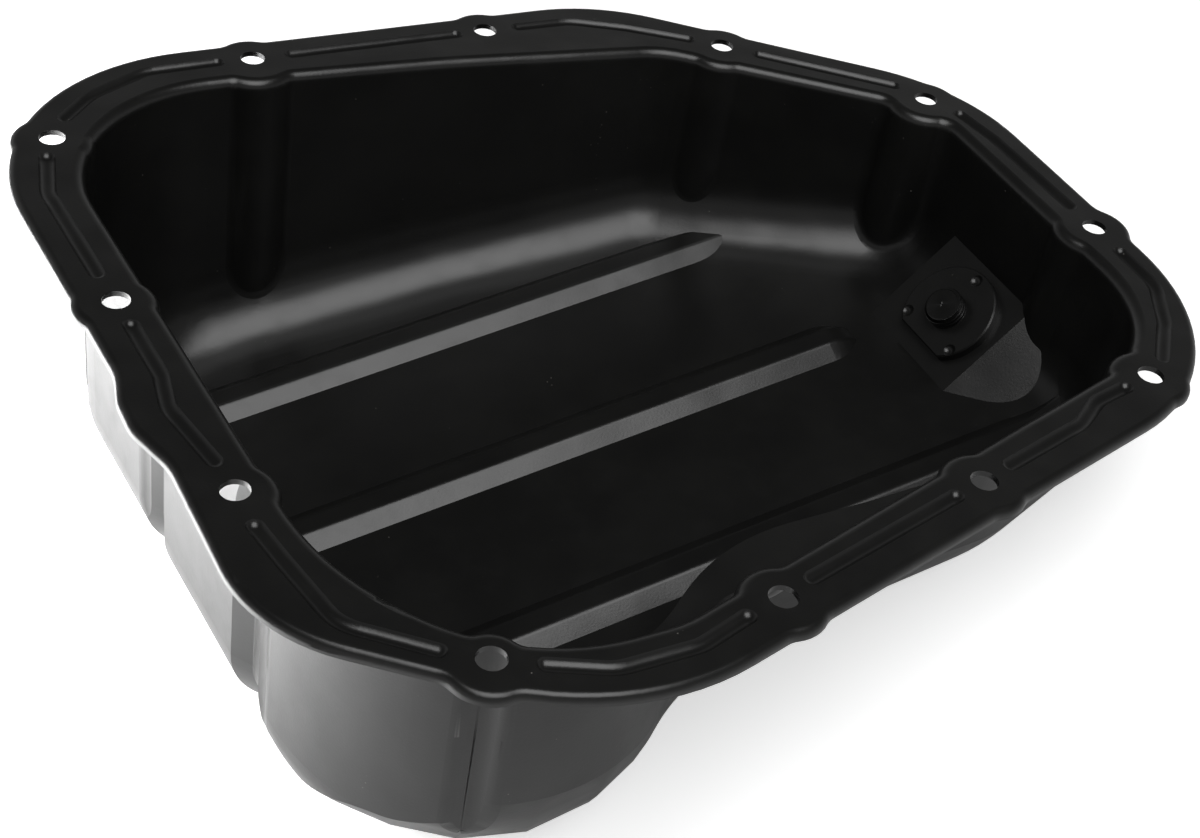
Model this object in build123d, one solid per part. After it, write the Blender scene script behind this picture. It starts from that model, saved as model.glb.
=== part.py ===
from build123d import *
import math
import os

# Pressed-steel oil pan. Millimetres, +Z is the normal of the flange, X runs along the three floor ribs.
# The origin is the centre of bolt hole 11, on the top face of the flange.

# ---- sheet ----
SHEET = 1.5            # thickness of the steel
BEND = 3.0             # bend from the flange into the wall, on its upper side
CORNER = 21.0          # bend from the wall into the floor, on the inside
BULGE_CORNER = 34.0    # the same bend round the near left bulge

# ---- flange ----
BOLT_R = 3.5           # radius of the twelve bolt holes
PAD_R = 10.8           # outer radius of the flange round each bolt hole
PAD_BLEND = 6.0        # blend between those pads and the straight edge
LIP = 2.8              # depth of the turned-down edge
LIP_BEND = 2.0         # rounding of that edge

# centre of each bolt hole, and the radius of the wall where it gives way to the bolt's washer
HOLES = (
    (-0.9, 144.8, 11.0),
    (63.7, 171.6, 13.5),
    (137.0, 171.5, 0.0),
    (206.4, 146.5, 12.5),
    (254.4, 103.0, 12.5),
    (263.8, 30.4, 12.0),
    (235.3, -30.1, 11.0),
    (167.0, -50.7, 11.0),
    (100.1, -68.3, 10.5),
    (32.5, -63.7, 8.5),
    (0.0, 0.0, 10.3),
    (-5.0, 72.3, 10.3),
)
RELIEF_BEND = 4.0      # bend between the walls and those washer reliefs

# corners of the flange's outer edge, each with its radius
FLANGE = (
    (178.2, 180.5, 57.0),
    (271.3, 106.2, 58.0),
    (271.3, -33.3, 66.0),
    (53.5, -90.0, 66.0),
    (-10.3, -39.7, 41.0),
    (-10.9, 13.0, 20.0),
    (-15.4, 27.0, 15.0),
    (-15.4, 37.0, 15.0),
    (-13.0, 47.0, 20.0),
    (-20.8, 180.5, 62.0),
)

# corners of the wall's inner face, each with its radius; the near side differs above and below the shelf
WALL_LEFT = (
    (-1.4, 161.5, 46.0),
    (10.0, -29.3, 70.0),
    (39.6, -66.9, 50.0),
)
WALL_RIGHT = (
    (254.0, -17.1, 42.0),
    (254.0, 97.6, 26.0),
    (186.0, 148.2, 26.0),
    (120.0, 156.8, 200.0),
    (57.0, 161.5, 200.0),
)
OPENING = WALL_LEFT + ((76.0, -66.9, 30.0),) + WALL_RIGHT
SUMP = WALL_LEFT + ((74.0, -66.9, 30.0), (112.0, -39.3, 40.0), (188.3, -35.5, 60.0)) + WALL_RIGHT
# a wider outline round the near left bulge and the near wall, which have a larger bend to the floor
BULGE = (
    (-120.0, 240.0, 60.0),
    (8.0, -30.4, 70.0),
    (46.5, -82.0, 46.0),
    (103.0, -38.3, 60.0),
    (190.0, -37.0, 60.0),
    (268.0, -14.0, 50.0),
    (290.0, 60.0, 50.0),
    (290.0, 240.0, 60.0),
)
SHELF = 12.0           # depth of the shelf below the flange
SHELF_BEND = 5.0       # bend from the wall into the shelf

# ---- floor ----
DEPTH = 96.5           # depth of the floor below the flange at x = 0, inside
FALL = 10.3            # tilt of the floor to the flange, in degrees

# ---- ribs, pressed up into the pan ----
RIB_BASE = 8.0         # half of their width on the floor
RIB_TOP = 3.1          # half of their width along the crown
RIB_RISE = 3.3         # height of the crown
RIB_SOFT = 2.5         # rounding of the crown's upper edges
# each rib's y, and what its right end does: it climbs the right wall, sinks into the floor or runs into a wall
RIBS = (
    (7.25, "climbs"),
    (67.4, "sinks"),
    (127.1, "runs"),
)
RIB_FAR = 240.0        # past the wall that the far rib runs into
RIB_CLIMB = 38.0       # how far a rib climbs the right wall before it has sunk into it
RIB_END = 214.0        # where the middle rib starts to sink into the floor

# ---- drain ----
DRAIN = (241.8, 51.7, -42.7)   # centre of the drain on the inner face of its seat, which slopes at 45 degrees
SEAT_FAR = 21.3        # from the centre to the steep end of the seat
SEAT_NEAR = 18.2       # from the centre to the slow end of the seat
PLATE_R = 15.0         # nut plate: a disc with one flat
PLATE_FLAT = 11.7      # from its centre to that flat
PLATE_THICK = 3.0
THREAD_R = 6.0         # M12 plug
PLUG_OUT = 4.7         # how far the plug's end stands above the plate
HEAD_AF = 17.0         # across the flats of the plug's head
HEAD_THICK = 3.0
HEAD_COLLAR = 10.5     # radius of the plug's collar
COLLAR_THICK = 2.0
GASKET_R = 11.0
GASKET_THICK = 1.5
FIT = 0.05             # clearance of the plug in the sheet and the gasket
SPOT_R = 2.4           # weld spots of the plate

# ---- seal beads, sunk into the flange between the bolt holes ----
BEAD_WIDE = 4.4
BEAD_DEEP = 1.3
BEAD_TURN = 12.0       # radius of the bends along a bead
BEADS = (
    ((5.0, 153.5), (14.0, 162.5), (32.0, 171.2), (53.0, 171.6)),
    ((75.5, 171.2), (127.0, 171.2)),
    ((148.0, 171.0), (165.0, 170.6), (181.0, 163.0), (197.5, 152.5)),
    ((215.5, 138.5), (248.5, 112.5)),
    ((260.0, 92.5), (262.4, 78.0), (263.3, 41.5)),
    ((263.5, 18.0), (263.0, 2.0), (254.0, -13.0), (243.5, -25.0)),
    ((225.0, -32.2), (214.0, -34.5), (204.0, -40.7), (177.0, -47.8)),
    ((109.5, -65.3), (157.0, -53.0)),
    ((42.5, -69.0), (56.0, -75.0), (76.0, -75.0), (89.5, -70.8)),
    ((23.0, -58.0), (6.5, -44.5), (2.2, -23.0), (0.3, -12.0)),
    ((-1.3, 10.5), (-5.3, 30.0), (-3.4, 42.0), (-4.4, 62.0)),
    ((-6.3, 84.0), (-8.6, 120.0), (-4.6, 136.0)),
)


def face_of(corners, grow=0.0):
    """A closed outline of straight runs and tangent arcs, grown by an even distance."""
    points = [(x, y) for x, y, r in corners]
    radii = [r for x, y, r in corners]
    face = make_face(FilletPolyline(*points, radius=radii, close=True))
    return offset(face, amount=grow) if grow else face


def floor_z(x, below=0.0):
    """Height of the floor's inner face at x, or of a plane parallel to it."""
    return -DEPTH - below / math.cos(math.radians(FALL)) + x * math.tan(math.radians(FALL))


def basin(corners, corner, grow):
    """A block inside the given walls down to the tilted floor, rounded where they meet."""
    block = extrude(face_of(corners, grow), amount=-DEPTH - 30.0, dir=(0, 0, 1))
    tilt = math.radians(FALL)
    floor = Plane(origin=(0, 0, floor_z(0, grow)), z_dir=(-math.sin(tilt), 0, math.cos(tilt)))
    block = split(block, bisect_by=floor, keep=Keep.TOP)
    bottom = min(block.faces(), key=lambda face: face.normal_at().Z)
    return fillet(bottom.edges(), corner + grow)


def sump(grow):
    """The deep part of the hollow, or with grow the outside of its walls and floor."""
    return basin(SUMP, CORNER, grow) & basin(BULGE, BULGE_CORNER, grow)


def shelf(grow):
    """The shallow part of the hollow: the whole opening down to the shelf on the near side."""
    block = extrude(face_of(OPENING, grow), amount=-SHELF - grow, dir=(0, 0, 1))
    return fillet(block.faces().sort_by(Axis.Z)[0].edges(), SHELF_BEND + grow)


def on_relief(edge, grow):
    """Whether an edge is an upright crease where a washer relief meets the wall."""
    low, high = edge.position_at(0), edge.position_at(1)
    if math.hypot(low.X - high.X, low.Y - high.Y) > 0.001:
        return False
    gaps = [abs(math.hypot(low.X - x, low.Y - y) - r + grow) for x, y, r in HOLES if r]
    return min(gaps) < 0.02


def hollow(grow):
    """The whole hollow of the pan with its reliefs, or with grow its outside."""
    block = sump(grow) + shelf(grow)
    for x, y, radius in HOLES:
        if radius:
            block -= Pos(x, y) * Cylinder(radius - grow, 3 * DEPTH)
    creases = [e for e in block.edges().filter_by(GeomType.LINE) if on_relief(e, grow)]
    return fillet(creases, RELIEF_BEND + grow)


def wall_x(y):
    """The left wall's inner face at y."""
    (x1, y1, r1), (x2, y2, r2) = WALL_LEFT[0], WALL_LEFT[1]
    return x1 + (x2 - x1) * (y - y1) / (y2 - y1)


def rib(y, end, grow):
    """One rib as a solid bar on the floor, running up the walls and sinking into them."""
    left = wall_x(y) - grow
    points = [(left - 6.0, 0.0), (left, -15.0), (left, floor_z(left, grow))]
    radii = [25.0, CORNER + grow]
    if end == "climbs":
        right = WALL_RIGHT[0][0] + grow
        low = floor_z(right, grow)
        points += [(right, low), (right + 10.0, low + RIB_CLIMB)]
        radii += [CORNER + grow]
    elif end == "sinks":
        points += [(RIB_END, floor_z(RIB_END, grow)), (RIB_END + 24.0, floor_z(RIB_END, grow) - 12.0)]
        radii += [14.0]
    else:
        points += [(RIB_FAR, floor_z(RIB_FAR, grow))]
    path = Plane.XZ.offset(-y) * FilletPolyline(*points, radius=radii)
    slope = math.atan2(RIB_RISE, RIB_BASE - RIB_TOP)
    narrow = grow * math.tan(slope / 2)
    under = 3.0
    wide = RIB_BASE - narrow + under / math.tan(slope)
    crown = RIB_TOP - narrow
    outline = Polyline((-wide, -under), (-crown, RIB_RISE), (crown, RIB_RISE), (wide, -under), close=True)
    profile = make_face(outline)
    profile = fillet(profile.vertices().group_by(Axis.Y)[-1], RIB_SOFT - grow)
    start = Plane(origin=path @ 0, x_dir=(0, 1, 0), z_dir=path % 0)
    return sweep(start * profile, path=path, transition=Transition.RIGHT)


def seat_plane(out=0.0):
    """The drain seat's inner face, or a plane that far outside it; its x runs up the slope, its z inward."""
    slant = math.sqrt(0.5)
    x, y, z = DRAIN
    return Plane(origin=(x + out * slant, y, z - out * slant), x_dir=(slant, 0, slant), z_dir=(-slant, 0, slant))


def seat_block(grow):
    """The flat that carries the drain, pressed into the corner of the floor and the right wall."""
    steep, slow, under = math.radians(72.0), math.radians(27.0), 16.0
    far = SEAT_FAR - grow * math.tan(steep / 2)
    near = -SEAT_NEAR + grow * math.tan(slow / 2)
    outline = Polyline(
        (far, -grow), (far + under / math.tan(steep), -grow - under),
        (near - under / math.tan(slow), -grow - under), (near, -grow), close=True)
    slant = math.sqrt(0.5)
    across = Plane(origin=DRAIN, x_dir=(0, 1, 0), z_dir=(slant, 0, slant))
    return extrude(across * make_face(outline), amount=40.0, both=True)


def flange_face(inset):
    """The flange's outline with its pads, drawn in by an even distance."""
    face = face_of(FLANGE)
    for x, y, radius in HOLES:
        face += Pos(x, y) * Circle(PAD_R)
    return offset(offset(face, amount=PAD_BLEND), amount=-PAD_BLEND - inset)


def bead(points, below):
    """The round bar that presses one seal bead; with below, the outside of the pressed sheet."""
    centre = (BEAD_WIDE ** 2 / 4 - BEAD_DEEP ** 2) / (2 * BEAD_DEEP)
    radius = centre + BEAD_DEEP + below
    path = Pos(0, 0, centre) * (FilletPolyline(*points, radius=BEAD_TURN) if len(points) > 2 else Line(*points))
    bar = sweep(Plane(origin=path @ 0, z_dir=path % 0) * Circle(radius), path=path)
    return bar + Pos(path @ 0) * Sphere(radius) + Pos(path @ 1) * Sphere(radius)


def skin(grow):
    """The inner face of the whole pressing below the flange, as a block, or with grow its outer face."""
    block = hollow(grow)
    for y, end in RIBS:
        block -= rib(y, end, grow)
    return block - seat_block(grow)


def die(inset):
    """The solid that fills everything under the pressing's upper face, or with inset under its lower face."""
    block = Pos(0, 0, -inset) * extrude(flange_face(inset), amount=LIP + 100 * inset, dir=(0, 0, -1))
    block = fillet(block.faces().sort_by(Axis.Z)[-1].edges(), LIP_BEND - inset)
    block += Pos(0, 0, -inset) * extrude(flange_face(2 * SHEET), amount=DEPTH + 50, dir=(0, 0, -1))
    block -= skin(inset)
    top = block.faces().sort_by(Axis.Z)[-1]
    rim = max(top.inner_wires(), key=lambda w: w.length)
    return fillet(rim.edges(), BEND - inset)


def pan_shell():
    """The pressing: one sheet from the turned-down edge to the drain seat."""
    shell = die(0) - die(SHEET)
    below = Pos(0, 0, -SHEET / 2 - 10) * Box(1000, 1000, 20)
    for points in BEADS:
        shell += bead(points, SHEET) & below
    for points in BEADS:
        shell -= bead(points, 0)
    for x, y, radius in HOLES:
        shell -= Pos(x, y) * Cylinder(BOLT_R, 20)
    shell -= seat_plane() * Cylinder(THREAD_R + FIT, 12)
    return shell


def drain_nut_plate():
    """The threaded plate welded on the seat, its flat toward the floor."""
    plate = Cylinder(PLATE_R, PLATE_THICK, align=(Align.CENTER, Align.CENTER, Align.MIN))
    plate -= Pos(-PLATE_FLAT - 10, 0, 0) * Box(20, 60, 20)
    plate = chamfer(plate.faces().sort_by(Axis.Z)[-1].edges(), 0.4)
    plate -= Cylinder(THREAD_R, 20)
    for x, y in ((-8.5, 10.2), (-7.6, -11.0), (12.2, 1.0)):
        plate -= Pos(x, y, PLATE_THICK + SPOT_R * 0.6) * Sphere(SPOT_R)
    return seat_plane() * plate


def drain_gasket():
    """The flat washer between the seat and the plug's collar."""
    ring = Cylinder(GASKET_R, GASKET_THICK, align=(Align.CENTER, Align.CENTER, Align.MAX))
    return seat_plane(SHEET) * (ring - Cylinder(THREAD_R + FIT, 20))


def drain_plug():
    """The hex-head plug with its collar and threaded shank."""
    top = PLATE_THICK + PLUG_OUT
    under = SHEET + GASKET_THICK
    shank = Pos(0, 0, -under) * Cylinder(THREAD_R, top + under, align=(Align.CENTER, Align.CENTER, Align.MIN))
    shank = chamfer(shank.edges().group_by(Axis.Z)[-1], 1.2)
    collar = Pos(0, 0, -under) * Cylinder(HEAD_COLLAR, COLLAR_THICK, align=(Align.CENTER, Align.CENTER, Align.MAX))
    head = extrude(RegularPolygon(HEAD_AF / 2, 6, major_radius=False), amount=-HEAD_THICK - COLLAR_THICK)
    head = Pos(0, 0, -under) * head
    cone = Pos(0, 0, -under - COLLAR_THICK) * Cylinder(
        HEAD_AF / 2 * 1.11, HEAD_THICK, align=(Align.CENTER, Align.CENTER, Align.MAX))
    cone = chamfer(cone.edges().group_by(Axis.Z)[0], 1.0)
    return seat_plane() * (shank + collar + (head & (cone + collar)))


if __name__ == "__main__":
    os.makedirs("parts", exist_ok=True)
    export_step(pan_shell(), "parts/pan_shell.step")
    export_step(drain_nut_plate(), "parts/drain_nut_plate.step")
    export_step(drain_gasket(), "parts/drain_gasket.step")
    export_step(drain_plug(), "parts/drain_plug.step")
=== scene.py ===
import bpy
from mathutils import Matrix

bl_info = {
    "name": "Pressed Oil Pan",
    "version": (1, 0, 0),
    "blender": (4, 5, 0),
    "location": "View3D > Sidebar > Oil Pan",
    "description": "Dresses a pressed-steel oil pan in satin black paint, with its drain plug, "
                   "on a pale studio floor",
    "category": "Object",
}

import math

import bpy
from mathutils import Matrix, Vector

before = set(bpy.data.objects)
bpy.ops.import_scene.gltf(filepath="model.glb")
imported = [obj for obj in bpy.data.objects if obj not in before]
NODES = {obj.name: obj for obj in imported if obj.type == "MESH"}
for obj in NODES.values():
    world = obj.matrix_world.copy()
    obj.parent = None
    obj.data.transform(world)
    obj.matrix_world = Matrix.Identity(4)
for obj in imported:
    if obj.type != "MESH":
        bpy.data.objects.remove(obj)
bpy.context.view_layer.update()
MM = 0.001

# ---- the drain: its centre, the slope of its seat and the plug's thread ----
DRAIN = Vector((241.8, 51.7, -42.7)) * MM
SEAT_SLOPE = math.radians(45.0)
THREAD_PITCH = 1.5 * MM
THREAD_START = 0.5 * MM          # height over the seat at which the ridges are full

# ---- stage, in metres and watts ----
FALL = math.radians(10.3)        # tilt of the pan's floor, and so of the stage under it
FLOOR_GLOW = 0.6                 # light that only the camera sees from the floor
FLOOR_GREY = 0.82
SKY_TOP = 0.03
SKY_EDGE = 0.45
# each lamp's name, place, the point it faces, its two sides and its power
LAMPS = (
    ("overhead softbox", (-0.02, -0.42, 1.15), (0.10, 0.0, -0.05), (0.95, 1.0), 13.0),
    ("left strip", (-0.24, 0.19, -0.01), (-0.24, 0.19, -0.10), (0.3, 0.34), 6.0),
)
SENSOR = 36.0                    # width in millimetres
CLIP = (0.01, 50.0)              # nearest and farthest that the camera sees
CAMERA_PLACE = Vector((-0.1101, -0.3024, 0.2957))
CAMERA_RIGHT = Vector((0.88367, -0.44667, 0.14009))
CAMERA_DOWN = Vector((-0.19357, -0.62114, -0.75942))
CAMERA_AHEAD = Vector((0.42622, 0.64395, -0.63534))

# ---- finishes ----
PAINT_IOR = 1.5
PLUG_POLISH = 0.06               # how much smoother the plug is than the pan
DARK_TINT = (0.85, 0.85, 0.82)   # the paint's darker and lighter clouds, as parts of its shade
LIGHT_TINT = (1.2, 1.2, 1.13)
DUST = (0.23, 0.22, 0.2, 1.0)
WASHER_DARK = (0.46, 0.46, 0.45, 1.0)
WASHER_LIGHT = (0.6, 0.6, 0.59, 1.0)
# scale of each pattern: the larger, the finer
CLOUDS = 34.0
WAVES = 46.0
DUST_PATCHES = 90.0
SMUDGES = 120.0
DUST_SPECKS = 420.0
WASHER_GRAIN = 900.0
PEEL = 1500.0

# ---- sockets of a Mix node set to colours, by number, since their names repeat ----
MIX_FACTOR, MIX_ONE, MIX_TWO = 0, 6, 7
MIX_RESULT = 2


# ---------------------------------------------------------------- shader helpers

class Sock:
    """One output socket of a node, with arithmetic that adds Math nodes."""

    def __init__(self, tree, socket):
        self.tree = tree
        self.socket = socket

    def _math(self, operation, *values):
        return self.tree.node("ShaderNodeMath", {"operation": operation}, dict(enumerate(values)))

    def __add__(self, other):
        return self._math("ADD", self, other)

    def __radd__(self, other):
        return self._math("ADD", other, self)

    def __sub__(self, other):
        return self._math("SUBTRACT", self, other)

    def __rsub__(self, other):
        return self._math("SUBTRACT", other, self)

    def __mul__(self, other):
        return self._math("MULTIPLY", self, other)

    def __rmul__(self, other):
        return self._math("MULTIPLY", other, self)

    def __truediv__(self, other):
        return self._math("DIVIDE", self, other)

    def step(self, low, high):
        """0 below low, 1 above high, smooth between."""
        return self.tree.node("ShaderNodeMapRange", {"interpolation_type": "SMOOTHSTEP"},
                              {"Value": self, "From Min": low, "From Max": high})


class Tree:
    """A material's or world's node tree."""

    def __init__(self, owner):
        owner.use_nodes = True
        self.tree = owner.node_tree
        self.tree.nodes.clear()

    def node(self, kind, settings=None, inputs=None, output=0):
        made = self.tree.nodes.new(kind)
        for key, value in (settings or {}).items():
            setattr(made, key, value)
        for key, value in (inputs or {}).items():
            if isinstance(value, Sock):
                self.tree.links.new(value.socket, made.inputs[key])
            else:
                made.inputs[key].default_value = value
        return Sock(self, made.outputs[output])

    def coords(self, location=(0, 0, 0), rotation=(0, 0, 0)):
        spot = self.node("ShaderNodeTexCoord", output="Object")
        return self.node("ShaderNodeMapping", {"vector_type": "TEXTURE"},
                         {"Vector": spot, "Location": location, "Rotation": rotation})

    def noise(self, where, scale, detail=2.0, rough=0.5):
        return self.node("ShaderNodeTexNoise", {"noise_dimensions": "3D"},
                         {"Vector": where, "Scale": scale, "Detail": detail, "Roughness": rough})

    def spots(self, where, scale):
        return self.node("ShaderNodeTexVoronoi", {"feature": "F1"},
                         {"Vector": where, "Scale": scale})

    def blend(self, factor, one, two):
        return self.node("ShaderNodeMix", {"data_type": "RGBA"},
                         {MIX_FACTOR: factor, MIX_ONE: one, MIX_TWO: two}, output=MIX_RESULT)

    def bump(self, height, strength, distance, normal=None):
        inputs = {"Height": height, "Strength": strength, "Distance": distance}
        if normal:
            inputs["Normal"] = normal
        return self.node("ShaderNodeBump", {}, inputs)

    def finish(self, shader, kind="ShaderNodeOutputMaterial"):
        """Link the shader to the output node that ends the tree."""
        end = self.tree.nodes.new(kind)
        self.tree.links.new(shader.socket, end.inputs["Surface"])

    def principled(self, inputs):
        self.finish(self.node("ShaderNodeBsdfPrincipled", {}, inputs))


def grey(value):
    return (value, value, value, 1.0)


def tinted(shade, tint):
    return tuple(shade * part for part in tint) + (1.0,)


# ---------------------------------------------------------------- materials

def thread_ridges(tree):
    """Height of the plug's screw thread, as a wave that winds round the drain's axis."""
    local = tree.coords(location=DRAIN, rotation=(0, -SEAT_SLOPE, 0))
    x, y, z = (tree.node("ShaderNodeSeparateXYZ", {}, {"Vector": local}, output=axis)
               for axis in "XYZ")
    turn = tree.node("ShaderNodeMath", {"operation": "ARCTAN2"}, {0: y, 1: x}) / math.tau
    wound = z / THREAD_PITCH + turn
    wave = tree.node("ShaderNodeMath", {"operation": "PINGPONG"}, {0: wound, 1: 0.5})
    return wave * z.step(0.0, THREAD_START)


def satin_black_paint(name, shade, gloss, threaded=False):
    """Dip paint over steel: faint orange peel, soft waves of the sheet and a little dust.

    Threaded paint also has the ridges of the plug's screw.
    """
    material = bpy.data.materials.new(name)
    tree = Tree(material)
    where = tree.coords()
    clouds = tree.noise(where, CLOUDS, 3.0, 0.55)
    peel = tree.noise(where, PEEL, 2.0, 0.5)
    waves = tree.noise(where, WAVES, 1.5, 0.4)
    dust_cell = tree.spots(where, DUST_SPECKS)
    dust_place = tree.noise(where, DUST_PATCHES, 1.0)
    dust = (1.0 - dust_cell.step(0.03, 0.11)) * dust_place.step(0.62, 0.72)
    smudge = tree.noise(where, SMUDGES, 4.0, 0.6).step(0.45, 0.8)
    tint = tree.blend(clouds.step(0.3, 0.7), tinted(shade, DARK_TINT), tinted(shade, LIGHT_TINT))
    colour = tree.blend(dust * 0.5, tint, DUST)
    rough = gloss + 0.06 * clouds + 0.05 * smudge + 0.3 * dust
    normal = tree.bump(waves, strength=0.12, distance=4.0 * MM)
    normal = tree.bump(peel, strength=0.10, distance=0.2 * MM, normal=normal)
    if threaded:
        ridges = thread_ridges(tree)
        normal = tree.bump(ridges, strength=0.9, distance=THREAD_PITCH, normal=normal)
    tree.principled({"Base Color": colour, "Roughness": rough, "IOR": PAINT_IOR,
                     "Normal": normal})
    return material


def washer_aluminium():
    """Bare aluminium with a fine, even grain."""
    material = bpy.data.materials.new("drain washer aluminium")
    tree = Tree(material)
    where = tree.coords()
    grain = tree.noise(where, WASHER_GRAIN, 3.0)
    colour = tree.blend(grain.step(0.3, 0.7), WASHER_DARK, WASHER_LIGHT)
    tree.principled({"Base Color": colour, "Metallic": 1.0, "Roughness": 0.32 + 0.15 * grain,
                     "Normal": tree.bump(grain, strength=0.15, distance=0.1 * MM)})
    return material


def dress(piece, material):
    """Give the piece one material in place of its own."""
    piece.data.materials.clear()
    piece.data.materials.append(material)
    for face in piece.data.polygons:
        face.material_index = 0


def clear_selection():
    if bpy.context.object and bpy.context.object.mode != "OBJECT":
        bpy.ops.object.mode_set(mode="OBJECT")
    bpy.ops.object.select_all(action="DESELECT")


# ---------------------------------------------------------------- settings

class OilPanPaint(bpy.types.PropertyGroup):
    """Paint of the pan and the plug."""
    shade: bpy.props.FloatProperty(
        name="Black", description="How light the black of the paint is",
        default=0.007, min=0.0, max=1.0, subtype="FACTOR")
    gloss: bpy.props.FloatProperty(
        name="Roughness", description="Roughness of the satin paint",
        default=0.27, min=0.0, max=1.0, subtype="FACTOR")


class OilPanStage(bpy.types.PropertyGroup):
    """Floor, lamps and camera."""
    floor_size: bpy.props.FloatProperty(
        name="Floor", description="Side of the square floor",
        default=14.0, unit="LENGTH")
    floor_drop: bpy.props.FloatProperty(
        name="Floor drop", description="Distance of the floor under the origin",
        default=0.0985, unit="LENGTH")
    focal: bpy.props.FloatProperty(
        name="Focal length", description="Focal length of the camera",
        default=59.36, unit="CAMERA")


# ---------------------------------------------------------------- pieces

class OILPAN_OT_shell(bpy.types.Operator):
    """Paint the pressing"""
    bl_idname = "oilpan.shell"
    bl_label = "Pan shell"

    def execute(self, context):
        paint = context.scene.oil_pan_paint
        black = satin_black_paint("satin black paint", paint.shade, paint.gloss)
        dress(NODES["pan_shell"], black)
        return {"FINISHED"}


class OILPAN_OT_drain(bpy.types.Operator):
    """Finish the nut plate, the washer and the drain plug"""
    bl_idname = "oilpan.drain"
    bl_label = "Drain"

    def execute(self, context):
        paint = context.scene.oil_pan_paint
        plate = satin_black_paint("nut plate black", paint.shade, paint.gloss)
        plug = satin_black_paint("plug black", paint.shade, paint.gloss - PLUG_POLISH,
                                 threaded=True)
        dress(NODES["drain_nut_plate"], plate)
        dress(NODES["drain_plug"], plug)
        dress(NODES["drain_gasket"], washer_aluminium())
        return {"FINISHED"}


class OILPAN_OT_stage(bpy.types.Operator):
    """Set the pale floor, the lamps and the camera"""
    bl_idname = "oilpan.stage"
    bl_label = "Stage"

    def execute(self, context):
        stage = context.scene.oil_pan_stage
        clear_selection()
        bpy.ops.mesh.primitive_plane_add(size=stage.floor_size, location=(0, 0, -stage.floor_drop),
                                         rotation=(0, -FALL, 0))
        floor = bpy.context.object
        floor.name = "stage floor"
        material = bpy.data.materials.new("pale floor")
        tree = Tree(material)
        seen = tree.node("ShaderNodeLightPath", output="Is Camera Ray")
        glow = tree.node("ShaderNodeEmission", {},
                         {"Color": grey(1.0), "Strength": seen * FLOOR_GLOW})
        matt = tree.node("ShaderNodeBsdfDiffuse", {}, {"Color": grey(FLOOR_GREY)})
        both = tree.node("ShaderNodeAddShader", {}, {0: glow, 1: matt})
        tree.finish(both)
        dress(floor, material)

        world = bpy.data.worlds.new("studio")
        context.scene.world = world
        tree = Tree(world)
        spot = tree.node("ShaderNodeTexCoord", output="Generated")
        height = tree.node("ShaderNodeSeparateXYZ", {}, {"Vector": spot}, output="Z")
        low = 1.0 - height.step(0.10, 0.72)
        shade = tree.blend(low, grey(SKY_TOP), grey(SKY_EDGE))
        glow = tree.node("ShaderNodeBackground", {}, {"Color": shade, "Strength": 1.0})
        tree.finish(glow, "ShaderNodeOutputWorld")

        for lamp in LAMPS:
            self.lamp(*lamp)

        eye = bpy.data.cameras.new("view")
        eye.lens = stage.focal
        eye.sensor_width = SENSOR
        eye.sensor_fit = "HORIZONTAL"
        eye.clip_start, eye.clip_end = CLIP
        camera = bpy.data.objects.new("view", eye)
        context.scene.collection.objects.link(camera)
        turn = Matrix((CAMERA_RIGHT, -CAMERA_DOWN, -CAMERA_AHEAD)).transposed().to_4x4()
        camera.matrix_world = Matrix.Translation(CAMERA_PLACE) @ turn
        context.scene.camera = camera
        context.scene.view_settings.view_transform = "Standard"
        return {"FINISHED"}

    def lamp(self, name, place, aim, size, power):
        """Add a rectangular lamp that the camera doesn't see."""
        light = bpy.data.lights.new(name, "AREA")
        light.shape = "RECTANGLE"
        light.size, light.size_y = size
        light.energy = power
        lamp = bpy.data.objects.new(name, light)
        bpy.context.scene.collection.objects.link(lamp)
        lamp.visible_camera = False
        lamp.location = place
        lamp.rotation_euler = (Vector(aim) - Vector(place)).to_track_quat("-Z", "Y").to_euler()


class OILPAN_PT_panel(bpy.types.Panel):
    """Lists the steps"""
    bl_idname = "OILPAN_PT_panel"
    bl_label = "Oil Pan"
    bl_space_type = "VIEW_3D"
    bl_region_type = "UI"
    bl_category = "Oil Pan"

    def draw(self, context):
        layout = self.layout
        for step in STEPS:
            layout.operator(step.bl_idname)
        for group in (context.scene.oil_pan_paint, context.scene.oil_pan_stage):
            for name in group.__annotations__:
                layout.prop(group, name)


STEPS = (OILPAN_OT_shell, OILPAN_OT_drain, OILPAN_OT_stage)
CLASSES = (OilPanPaint, OilPanStage) + STEPS + (OILPAN_PT_panel,)


def register():
    for kind in CLASSES:
        bpy.utils.register_class(kind)
    bpy.types.Scene.oil_pan_paint = bpy.props.PointerProperty(type=OilPanPaint)
    bpy.types.Scene.oil_pan_stage = bpy.props.PointerProperty(type=OilPanStage)


def unregister():
    del bpy.types.Scene.oil_pan_stage
    del bpy.types.Scene.oil_pan_paint
    for kind in reversed(CLASSES):
        bpy.utils.unregister_class(kind)


def main():
    register()
    bpy.ops.oilpan.shell()
    bpy.ops.oilpan.drain()
    bpy.ops.oilpan.stage()


if __name__ == "__main__":
    main()
